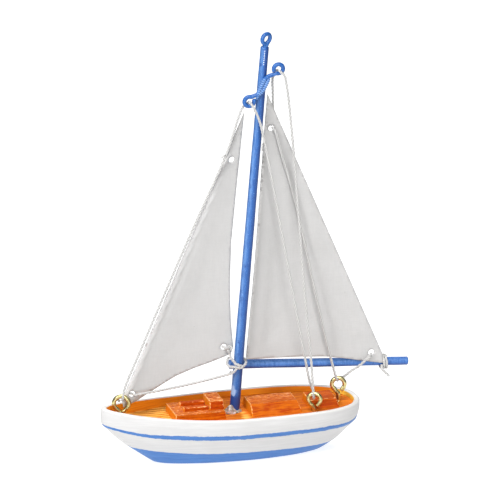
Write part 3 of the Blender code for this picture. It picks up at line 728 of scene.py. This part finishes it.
def make_spars(mast_paint, boom_paint):
    start, length = MAST_FOOT - MAST_UP * MAST_TENON, MAST_TENON + MAST_LENGTH
    points, faces, marks = spar(start, MAST_UP, length, 2.0, 1.68, 0.06, 3, (0.963, -0.269, 0))
    height = [(p - MAST_FOOT).dot(MAST_UP) for p in points]
    # Towards the masthead the painted shade deepens and the painted highlight fades.
    high = [clamp((h - 120) / 20) for h in height]
    marks["deep"] = [min(1.0, d * (1 + 1.5 * t)) for d, t in zip(marks["deep"], high)]
    marks["pale"] = [d * (1 - 0.2 * t) for d, t in zip(marks["pale"], high)]
    # The smear is painted only on the mast's left side, where the light falls: a painted highlight.
    left = [(-(p - MAST_FOOT - MAST_UP * h).x / 2 + 0.3) for p, h in zip(points, height)]
    film_highlight = [clamp((h - 6.0) / 1.5, (14.5 - h) / 5) * clamp(s) for h, s in zip(height, left)]
    foot = [max(0.0, 1 - h / 8) for h in height]
    marks = {"film_highlight": film_highlight, "foot": foot, **marks}
    piece("mast_spar", points, faces, mast_paint, "boat", "mast", marks)
    start = BOOM_CROSSING - BOOM_BACK * 3.1
    points, faces, marks = spar(start, BOOM_BACK, 73.5, 1.85, 1.65, 0.08, 8, (0, 0, -1))
    # More painted shade on the boom aft of 65 mm, past the clew lashing.
    marks["deep"] = [min(1.0, d + (0.35 if p.x > 65 else 0.0)) for d, p in zip(marks["deep"], points)]
    piece("boom_spar", points, faces, boom_paint, SAIL_BODY, "boom", marks)


# ---- screw eyes


EYE_SIDES = 16


def eye_line(ring, shank, hand, start, sweep, tip=None):
    """A screw eye's wire: up the shank, out beside the ring and round it. The ring's middle is 0, 0, 0.

    shank is its straight length, or the points it follows where it is bent."""
    neck = ring + 1.0
    if isinstance(shank, float):
        shank = ((0, -neck - shank), (0, -neck - shank / 2), (0, -neck - 0.6), (ring * 0.10, -neck - 0.05))
    knots = [Vector((x, 0, z)) for x, z in shank]
    steps = 22
    for i in range(steps + 1):
        turn = radians(start + sweep * i / steps)
        lift = 0.35 * (i / steps) ** 3
        knots.append(Vector((ring * cos(turn), -lift, ring * sin(turn))))
    if tip:
        knots.append(Vector((tip[0], -0.45, tip[1] - ring)))
    return [Vector((p.x * hand, p.y, p.z)) for p in smooth_route(knots, 0.2)]


BENT_SHANK = ((-8.9, -12.2), (-8.35, -9.9), (-7.6, -7.9), (-6.63, -5.9), (-5.65, -4.2), (-4.4, -2.9), (-2.6, -2.3))


def ridge(run, turn):
    """How near a place is to the crest of a screw thread, from 0 to 1."""
    return abs(((run / 0.85 - turn / tau) % 1.0) * 2 - 1) ** 1.5


def screw_eye(name, node, place, line, wire, paint, threads, tip=0.4, neck=None):
    """An eye with a thread over its first part, or with a thicker neck instead."""
    def radius(run, turn):
        if neck:
            return wire * (1 + 0.4 * bell(run, neck, 1.0))
        if run < threads:
            return wire * min(1.0, 0.25 + 0.75 * run / tip) * (0.84 + 0.30 * ridge(run, turn))
        return wire * (1 + 0.025 * sin(run * 2.3) + 0.03 * sin(3 * turn + run))

    points, faces = tube([place @ p for p in line], radius, EYE_SIDES, 0.35)
    runs = [run_length(line) * (i // EYE_SIDES) / (len(line) - 1) for i in range(len(points))]
    turns = [tau * (i % EYE_SIDES) / EYE_SIDES for i in range(len(points))]
    # Thread crests carry the mark for paler paint: partly rubbed paint, partly painted highlight.
    wear_and_glint = [ridge(run, turn) if run < threads else 0.0 for run, turn in zip(runs, turns)]
    return piece(name, points, faces, paint, "boat", node, {"wear_and_glint": wear_and_glint})


def turned(at, turn):
    return Matrix.Translation(Vector(at)) @ turn


def make_eyes(gold, blue):
    for name, at, ring, shank, yaw, tip in (
        ("bow", (-44.2, 0.0, 26.0), 2.95, 9.5, -15.6, (-0.55, -0.75)),
        ("port", (32.1, -9.3, 23.4), 2.42, 7.5, -18.0, (-1.1, -0.35)),
        ("stern", (44.4, 0.0, 25.4), 2.5, 11.0, -12.0, (-1.15, -0.3)),
    ):
        place = turned(at, Matrix.Rotation(radians(yaw), 4, "Z"))
        line = eye_line(ring, shank, -1, -36.0, 252.0, tip)
        screw_eye(f"{name}_eye_wire", f"{name}_screw_eye", place, line, 0.85, gold, shank - 2.5)
    top = MAST_FOOT + MAST_UP * (MAST_LENGTH + 3.3) + Vector((0.15, -0.3, 0))
    raked = Matrix.Rotation(MAST_RAKE + 0.10, 4, "Y") @ Matrix.Rotation(radians(25), 4, "Z")
    line = eye_line(2.02, 8.0, 1, -50.0, 320)
    place = turned(top, raked)
    screw_eye("masthead_eye_wire", "masthead_eye", place, line, 0.82, blue, 0.0, neck=8.4)
    fore, aft = Vector((7.4, -2.3, 148.5)), Vector((19.3, -2.3, 161.0))
    for name, at, turn, first in (("forestay", fore, pi, 1), ("backstay", aft, 0.0, 0)):
        place = turned(at, Matrix.Rotation(turn, 4, "Y"))
        line = eye_line(1.95, BENT_SHANK[first:], 1, -112.0, 318.0)
        screw_eye(f"{name}_eye_wire", f"{name}_eye", place, line, 0.84, blue, 9.0, tip=1.6)
    # Thread crests showing on the mast's side, each given a near-white painted glint.
    beads = []
    for i in range(8):
        at = MAST_FOOT + MAST_UP * (151.0 - 0.80 * i) + Vector((-0.35, -1.60, 0))
        line = [at + Vector((x, -0.05 * abs(x), -0.18 * x)) for x in (-0.2, -0.1, 0, 0.1, 0.2)]
        beads.append(tube(line, 0.21, 8, 0.2))
    points, faces = join(*beads)
    piece("masthead_thread_marks", points, faces, blue, "boat", None, {"wear_and_glint": [2.0] * len(points)})


# ---- sails

HOLE = 1.25  # radius of a punched hole
CLOTH_CELL = 1.0
MAIN_OUTLINE = (
    (6.5, 39.6), (15.5, 150.0), (63.2, 35.4), (63.6, 31.4), (48.5, 35.1), (40.0, 36.9), (29.0, 38.1),
)
MAIN_HOLES = ((17.05, 135.5), (58.5, 36.5))
JIB_OUTLINE = (
    (6.2, 143.0), (2.9, 110.2), (0.9, 89.0), (0.4, 71.0), (0.8, 56.0), (1.8, 44.9), (0.9, 42.2),
    (-1.3, 41.2), (-7.7, 39.3), (-14.2, 37.5), (-21.5, 34.9), (-26.9, 32.1), (-37.8, 26.0), (-43.0, 23.6),
    (-43.6, 26.9),
)
JIB_HOLES = ((0.85, 123.8), (-2.1, 45.1), (-39.5, 29.1))


def sides_of(outline):
    return zip(outline, outline[1:] + outline[:1])


def flat_cloth(outline, holes):
    """Triangles that fill an outline, round its punched holes, in the plane of the sail."""
    rim = []
    for a, b in sides_of(outline):
        a, b = Vector(a), Vector(b)
        count = max(1, ceil((b - a).length / (CLOTH_CELL * 0.8)))
        rim += [a.lerp(b, i / count) for i in range(count)]
    turns = [tau * i / 24 for i in range(24)]
    loops = [rim] + [[Vector((x + HOLE * cos(t), z + HOLE * sin(t))) for t in turns] for x, z in holes]
    points, edges = [], []
    for loop in loops:
        first = len(points)
        points += loop
        edges += [(first + i, first + (i + 1) % len(loop)) for i in range(len(loop))]
    xs, zs = [p[0] for p in outline], [p[1] for p in outline]
    row = 0
    z = min(zs)
    while z < max(zs):
        x = min(xs) + (row % 2) * CLOTH_CELL / 2
        while x < max(xs):
            at = Vector((x, z))
            clear = all((at - Vector(h)).length > HOLE + 0.45 for h in holes)
            if clear and within(at, outline) and rim_distance(at, outline) > 0.45:
                points.append(at)
            x += CLOTH_CELL
        z += CLOTH_CELL * 0.87
        row += 1
    made, _, triangles, *_ = geometry.delaunay_2d_cdt(points, edges, [], 0, 1e-5)
    kept = []
    for face in triangles:
        middle = sum((made[i] for i in face), Vector((0, 0))) / len(face)
        if within(middle, outline) and all((middle - Vector(h)).length > HOLE * 0.98 for h in holes):
            kept.append(tuple(face))
    return made, kept


def within(at, outline):
    odd = False
    for (ax, ay), (bx, by) in sides_of(outline):
        if (ay > at.y) != (by > at.y) and at.x < (bx - ax) * (at.y - ay) / (by - ay) + ax:
            odd = not odd
    return odd


def line_distance(at, a, b):
    a, b = Vector(a), Vector(b)
    t = clamp((at - a).dot(b - a) / (b - a).length_squared)
    return (at - a - (b - a) * t).length


def rim_distance(at, outline):
    return min(line_distance(at, a, b) for a, b in sides_of(outline))


def two_sided(flat, triangles, middle, half):
    """A closed sheet round a middle surface. middle gives a point and half the thickness there."""
    across = Vector((0, 1, 0))
    count = len(flat)
    front = [middle(p) - across * half(p) for p in flat]
    back = [middle(p) + across * half(p) for p in flat]
    faces = [tuple(f) for f in triangles] + [tuple(i + count for i in reversed(f)) for f in triangles]
    seen = dict.fromkeys(side for f in triangles for side in sides_of(f))
    for a, b in seen:
        if (b, a) not in seen:
            faces.append((b, a, a + count, b + count))
    return front + back, faces


def make_mainsail(paint):
    flat, triangles = flat_cloth(MAIN_OUTLINE, MAIN_HOLES)
    luff = (MAIN_OUTLINE[0], MAIN_OUTLINE[1])
    foot_turn = Matrix.Translation(MAST_FOOT) @ Matrix.Rotation(radians(1.8), 4, MAST_UP)
    foot_turn = foot_turn @ Matrix.Translation(-MAST_FOOT)

    def middle(p):
        x, z = p
        near_rim = min(1.0, rim_distance(p, MAIN_OUTLINE) / 14)
        belly = 0.9 * near_rim * bell(z, 62, 40)
        ripple = 0.22 * noise.noise(Vector((x / 14, z / 22, 1)))
        crease = -0.35 * bell(x - 6.5 - (z - 39.6) * 0.082, 5.5, 2.4) * bell(z, 62, 38)
        from_leech = line_distance(p, luff[1], MAIN_OUTLINE[2])
        leech = 0.35 * noise.noise(Vector((z / 13, 4, 2))) * exp(-from_leech / 3)
        clew = 0.42 * clamp((x - 52) / 9)
        turned = -1.5 * exp(-line_distance(p, *luff) / 5.0) * bell(z, 78, 38)
        return foot_turn @ Vector((x, max(0.0, belly) + ripple + crease + leech + clew + turned, z))

    def half(p):
        return 0.3 if line_distance(p, *luff) < 1.3 else 0.2

    points, faces = two_sided(flat, triangles, middle, half)
    away = [line_distance(p, *luff) for p in flat] * 2
    # Painted shade beside the mast, fading away from the luff.
    shade_and_grey = [0.55 * exp(-d / 5.0) + 0.15 * exp(-d / 14.0) for d in away]
    made = piece("mainsail_cloth", points, faces, paint, SAIL_BODY, "mainsail", {"shade_and_grey": shade_and_grey})


LUFF_HEAD, LUFF_TACK = JIB_OUTLINE[0], JIB_OUTLINE[-1]


def make_jib(paint):
    flat, triangles = flat_cloth(JIB_OUTLINE, JIB_HOLES)

    def middle(p):
        x, z = p
        base = 1.3 + (0.7 - 1.3) * (z - 23.6) / (143 - 23.6)
        near_rim = min(1.0, rim_distance(p, JIB_OUTLINE) / 12)
        belly = 0.7 * near_rim * bell(z, 66, 34)
        ripple = 0.20 * noise.noise(Vector((x / 14, z / 20, 7)))
        crease = 0.45 * bell(line_distance(p, LUFF_HEAD, LUFF_TACK), 2.6, 1.0) * bell(z, 70, 22)
        curl = -1.9 * exp(-line_distance(p, LUFF_HEAD, LUFF_TACK) / 2.2) * bell(z, 123.5, 3.2)
        return Vector((x, base + max(0.0, belly) + ripple + crease + curl, z))

    points, faces = two_sided(flat, triangles, middle, lambda p: 0.2)
    # Grey all over the jib, more so above 80 mm.
    shade_and_grey = [0.24 + 0.14 * clamp((z - 80) / 40) for _, z in flat] * 2
    away = [line_distance(p, LUFF_HEAD, LUFF_TACK) for p in flat] * 2
    # Painted highlight on the folded luff edge, up to 118 mm.
    hem = [clamp((2.1 - d) / 0.5, (118 - p.y) / 8) for d, p in zip(away, flat * 2)]
    made = piece("jib_cloth", points, faces, paint, "jib_sail", "jib", {"shade_and_grey": shade_and_grey, "hem": hem})


# ---- string rigging

# each string from one hold to the next, then what it rides on or bends between
ROUTES = {
    "standing_rigging": (
        (19.5, -2.7, 160.5), (20.2, -3.8, 159.8), (21.2, -4.1, 158.9), (22.2, -4.1, 154.6),
        (24.4, -4.9, 131.6), (28.2, -8.2, 71.5), (30.5, -10.6, 39.0), (31.0, -11.2, 29.0),
        (31.2, -10.9, 25.7), (31.9, -9.3, 24.0), (32.4, -8.0, 24.7), (32.2, -7.6, 26.3), (30.8, -7.9, 29.5),
        (28.3, -7.9, 42.8), (13.0, -4.2, 132.4), (11.0, -3.9, 141.0), (8.5, -3.9, 146.7), (7.5, -2.3, 148.3),
        (7.0, -0.8, 147.1), (5.4, -0.5, 145.8), (-1.3, -0.3, 126.7), (-16.9, -0.5, 92.6),
        (-37.3, -1.1, 46.5), (-43.6, -1.7, 32.0), (-44.0, -1.6, 28.8), (-44.0, -0.2, 27.2)),
    "halyard_line": (
        (19.2, -2.0, 160.4), (18.9, -0.6, 159.7), (18.3, -0.2, 158.4), (17.7, 0.3, 156.0), (18.0, 1.2, 151.0),
        (18.2, 1.5, 146.0), (18.1, 1.6, 138.6), (17.3, 1.1, 136.1)),
    "topping_line": (
        (17.2, -0.5, 136.2), (18.3, -0.95, 134.5), (21.0, -0.95, 124.6), (26.5, -1.0, 104.8),
        (33.4, -1.2, 71.8), (40.7, -1.4, 38.3), (43.1, -1.6, 28.9), (43.6, -1.5, 27.7), (43.95, -0.9, 26.9)),
    "mainsheet_line": (
        (44.75, 0.6, 26.7), (45.4, 1.3, 27.2), (47.4, 1.5, 27.8), (50.0, 1.2, 29.8), (52.8, 0.8, 31.5),
        (55.8, 0.6, 34.0), (57.6, 0.7, 35.7), (58.4, 1.3, 36.5)),
    "tack_line": (
        (-44.7, 0.6, 26.6), (-45.0, 2.2, 27.3), (-43.0, 3.0, 28.4), (-40.4, 2.3, 29.1),
        (-39.4, 1.2, 29.1), (-38.7, 0.1, 29.0), (-36.4, -0.4, 29.3), (-18.3, -1.1, 31.5),
        (-1.2, -2.2, 34.7), (0.6, -2.7, 35.4), (1.5, -3.0, 36.4), (2.2, -3.2, 37.3)),
    "boom_lashing": (
        (0.0, 1.0, 40.7), (-0.9, 0.6, 39.3), (-0.9, -0.1, 38.0), (0.0, -1.5, 37.5), (1.2, -2.6, 37.7),
        (2.6, -3.0, 37.2), (4.5, -2.7, 37.4), (5.8, -1.8, 37.9), (6.6, -0.6, 38.3), (6.9, 0.8, 38.5),
        (6.6, 2.4, 38.9), (6.2, 4.4, 39.0), (5.6, 6.3, 37.9), (4.9, 7.1, 36.1), (4.0, 6.4, 33.9),
        (2.9, 4.2, 33.2), (1.7, 2.3, 33.5), (0.6, 0.7, 34.2), (0.3, -0.6, 34.9)),
    "jib_clew_tie": (
        (-2.3, 2.4, 44.9), (-2.1, 1.0, 45.1), (-1.2, 0.1, 44.9), (-0.2, 0.0, 43.6), (0.1, -0.7, 41.6),
        (1.0, -2.2, 40.1), (2.1, -2.9, 38.7), (3.2, -3.0, 38.6)),
}
RIDES = {
    "standing_rigging": "boat",
    "halyard_line": ("boat", SAIL_BODY, (18.3, -0.2, 158.0), (18.1, 1.6, 138.6)),
    "topping_line": (SAIL_BODY, "boat", (39.7, -1.4, 43.0), (43.1, -1.6, 28.9)),
    "mainsheet_line": ("boat", SAIL_BODY, (46.0, 1.4, 27.4), (57.6, 0.7, 35.7)),
    "tack_line": "boat",
    "boom_lashing": ("boat", SAIL_BODY, (3.0, -0.5, 37.0), (3.9, 4.5, 36.2)),
    "jib_clew_tie": ("jib_sail", "boat", (-1.2, 0.1, 44.9), (1.0, -2.2, 40.1)),
}
CLEW_TURNS, CLEW_TURN_PITCH, CLEW_TURN_X, CLEW_RADIUS = 3, 1.05, 62.4, 2.6
CLEW_TAIL = ((62.7, 1.2, 29.4), (63.7, 0.9, 28.2), (65.6, 1.0, 26.2))


def clew_lashing_line():
    """Turns of string round the boom at the mainsail's clew, and the free tail below it."""
    points = []
    for i in range(1, CLEW_TURNS * 10 - 2):
        x = CLEW_TURN_X + (CLEW_TURNS - i / 10) * CLEW_TURN_PITCH
        middle = BOOM_CROSSING + BOOM_BACK * ((x - BOOM_CROSSING.x) / BOOM_BACK.x)
        turn = tau * i / 10 - pi / 2
        points.append(middle + Vector((0, cos(turn), -sin(turn))) * CLEW_RADIUS)
    return smooth_route(points + [Vector(p) for p in CLEW_TAIL])


def make_rigging(paint):
    lines = {name: (smooth_route(points), RIDES[name]) for name, points in ROUTES.items()}
    lines["clew_lashing"] = (clew_lashing_line(), SAIL_BODY)
    for name, (line, body) in lines.items():
        (points, faces), valley_shade = rope(line)
        # The clew lashing's turns get less painted shade between strands.
        if name == "clew_lashing":
            valley_shade = [0.4 * v for v in valley_shade]
        made = piece(f"{name}_string", points, faces, paint, body, name, {"valley_shade": valley_shade})


def knot(middle, size, tall, turn):
    """A small overhand knot: a trefoil of string."""
    spin = Matrix.Rotation(radians(turn), 3, "Y")
    route = []
    for i in range(41):
        t = tau * i / 40
        flat = Vector((sin(t) + 2 * sin(2 * t), -sin(3 * t), cos(t) - 2 * cos(2 * t)))
        route.append(Vector(middle) + spin @ Vector((flat.x * size, flat.y * size * 1.3, flat.z * size * tall)))
    return rope(smooth_route(route, 0.2), 3.5, 0.22)


def make_knots(paint):
    bits = {
        "lashing_knot": (knot((3.4, -3.25, 37.8), 0.32, 0.85, 20), "boat"),
        "jib_clew_knot": (knot((-0.35, -0.45, 44.6), 0.42, 1.1, -15), "jib_sail"),
    }
    loose = {
        "forestay_nub": (((-3.5, -0.7, 125.3), (-2.8, -0.95, 126.1), (-2.0, -0.9, 126.4)), "boat"),
        "shroud_thread_end": (((12.9, -4.5, 132.2), (12.2, -4.7, 131.0), (12.0, -4.6, 128.1)), "boat"),
        "mainsheet_thread": (((57.9, 0.1, 35.4), (55.2, 0.1, 33.7), (52.4, 0.4, 31.3)), RIDES["mainsheet_line"]),
    }
    for name, (line, body) in loose.items():
        bits[name] = (rope(smooth_route(line), 4.0, 0.16), body)
    for name, (((points, faces), valley_shade), body) in bits.items():
        piece(name, points, faces, paint, body, None, {"valley_shade": valley_shade})


# ---- glue


def make_glue(paint):
    points, faces = [], []
    sides, rings = 40, 12
    for i in range(sides):
        turn = tau * i / sides
        away = Vector((cos(turn), sin(turn), 0))
        big = bell(atan2(sin(turn - 3.65), cos(turn - 3.65)), 0, 0.85)
        small = bell(atan2(sin(turn + 0.5), cos(turn + 0.5)), 0, 0.5)
        reach = 0.7 + 2.4 * big + 0.6 * small
        tall = 0.7 + 2.7 * big + 0.5 * small
        for k in range(rings):
            bow = pi / 2 * k / (rings - 1)
            at = MAST_FOOT + away * (1.75 + reach * cos(bow)) + Vector((0, 0, tall * sin(bow) - 0.15))
            at += wobble(at, 1.1, 0.38) * cos(bow * 0.9)
            points.append(at + Vector((0.08 * tall * sin(bow), 0, 0)))
    for i in range(sides):
        for k in range(rings - 1):
            a, b = i * rings, (i + 1) % sides * rings
            faces.append((a + k, b + k, b + k + 1, a + k + 1))
    for k in (0, rings - 1):
        faces.append(tuple(i * rings + k for i in range(sides)))
    piece("mast_glue_lumps", points, faces, paint, "boat", "mast_glue")


# ---- surroundings


LIT_POINT = Vector((0, 0, 0.07))
FLOOR_GLOW, SKY_GLOW = 0.84, 0.30


def area_light(name, at, size, power):
    data = bpy.data.lights.new(name, "AREA")
    data.shape, data.size, data.energy = "DISK", size, power
    lamp = place_in_scene(name, data)
    lamp.location = at
    lamp.rotation_mode = "QUATERNION"
    lamp.rotation_quaternion = (Vector(at) - LIT_POINT).to_track_quat("Z", "Y")


def flat_quad(name, corners, paint):
    mesh = bpy.data.meshes.new(name)
    mesh.from_pydata(corners, [], [(0, 1, 2, 3)])
    mesh.materials.append(paint)
    made = place_in_scene(name, mesh)
    return made


def dark_card(name, start, end, tall, paint, shades):
    """An upright black card outside the view. One that doesn't shade shows only in reflections."""
    (ax, ay), (bx, by) = start, end
    card = flat_quad(name, [(ax, ay, 0), (bx, by, 0), (bx, by, tall), (ax, ay, tall)], paint)
    card.visible_camera = False
    card.visible_diffuse = card.visible_shadow = card.visible_transmission = shades


def make_surroundings():
    p = Paint("floor_pale", Roughness=0.9)
    speckle = p.noise(4.0)
    p.finish(p.mix(speckle, (0.34, 0.34, 0.34), (0.36, 0.36, 0.36)))
    p.shader.inputs["Emission Color"].default_value = (1, 1, 1, 1)
    p.shader.inputs["Emission Strength"].default_value = FLOOR_GLOW
    ground = flat_quad("floor", [(-4, -4, 0), (4, -4, 0), (4, 4, 0), (-4, 4, 0)], p.material)
    ground.location.z = -0.0001
    area_light("key", (-0.90, -0.60, 0.72), 0.42, 8.0)
    area_light("top", (-0.15, -0.60, 1.20), 0.6, 10.5)
    area_light("back", (0.15, 0.80, 1.00), 0.5, 6.0)
    area_light("front", (0.10, -1.20, 0.75), 0.5, 4.5)
    black = Paint("card_black", Base_Color=(0.02, 0.02, 0.02, 1)).material
    dark_card("card_aft", (0.32, -0.4), (0.32, 0.5), 0.5, black, True)
    dark_card("card_starboard", (-0.30, 0.26), (0.30, 0.26), 0.36, black, False)
    dark_card("card_fore", (-0.30, -0.20), (-0.30, 0.26), 0.25, black, False)
    world = bpy.data.worlds.new("studio")
    world.use_nodes = True
    world.node_tree.nodes["Background"].inputs["Color"].default_value = (1, 1, 1, 1)
    world.node_tree.nodes["Background"].inputs["Strength"].default_value = SKY_GLOW
    bpy.context.scene.world = world
    bpy.context.scene.view_settings.view_transform = "Standard"


# ---- making it all

aim_camera()
string_paint = cotton()
make_rigging(string_paint)
make_knots(string_paint)
make_hull(hull_paint())
make_deck(deck_paint())
make_houses(cabin_paint())
blue = spar_paint()
# The boom gets a lighter copy of the spar blue: painted light, making up for the shade the mainsail casts on it.
boom_blue_lightened = spar_paint("boom_paint_brushed_lightened", dark=(0.034, 0.14, 0.46), light=(0.060, 0.20, 0.58))
make_spars(spar_paint("mast_paint_brushed", 0.6), boom_blue_lightened)
make_eyes(brass(), blue)
sailcloth = cloth()
make_mainsail(sailcloth)
make_jib(sailcloth)
make_glue(glue())
make_surroundings()
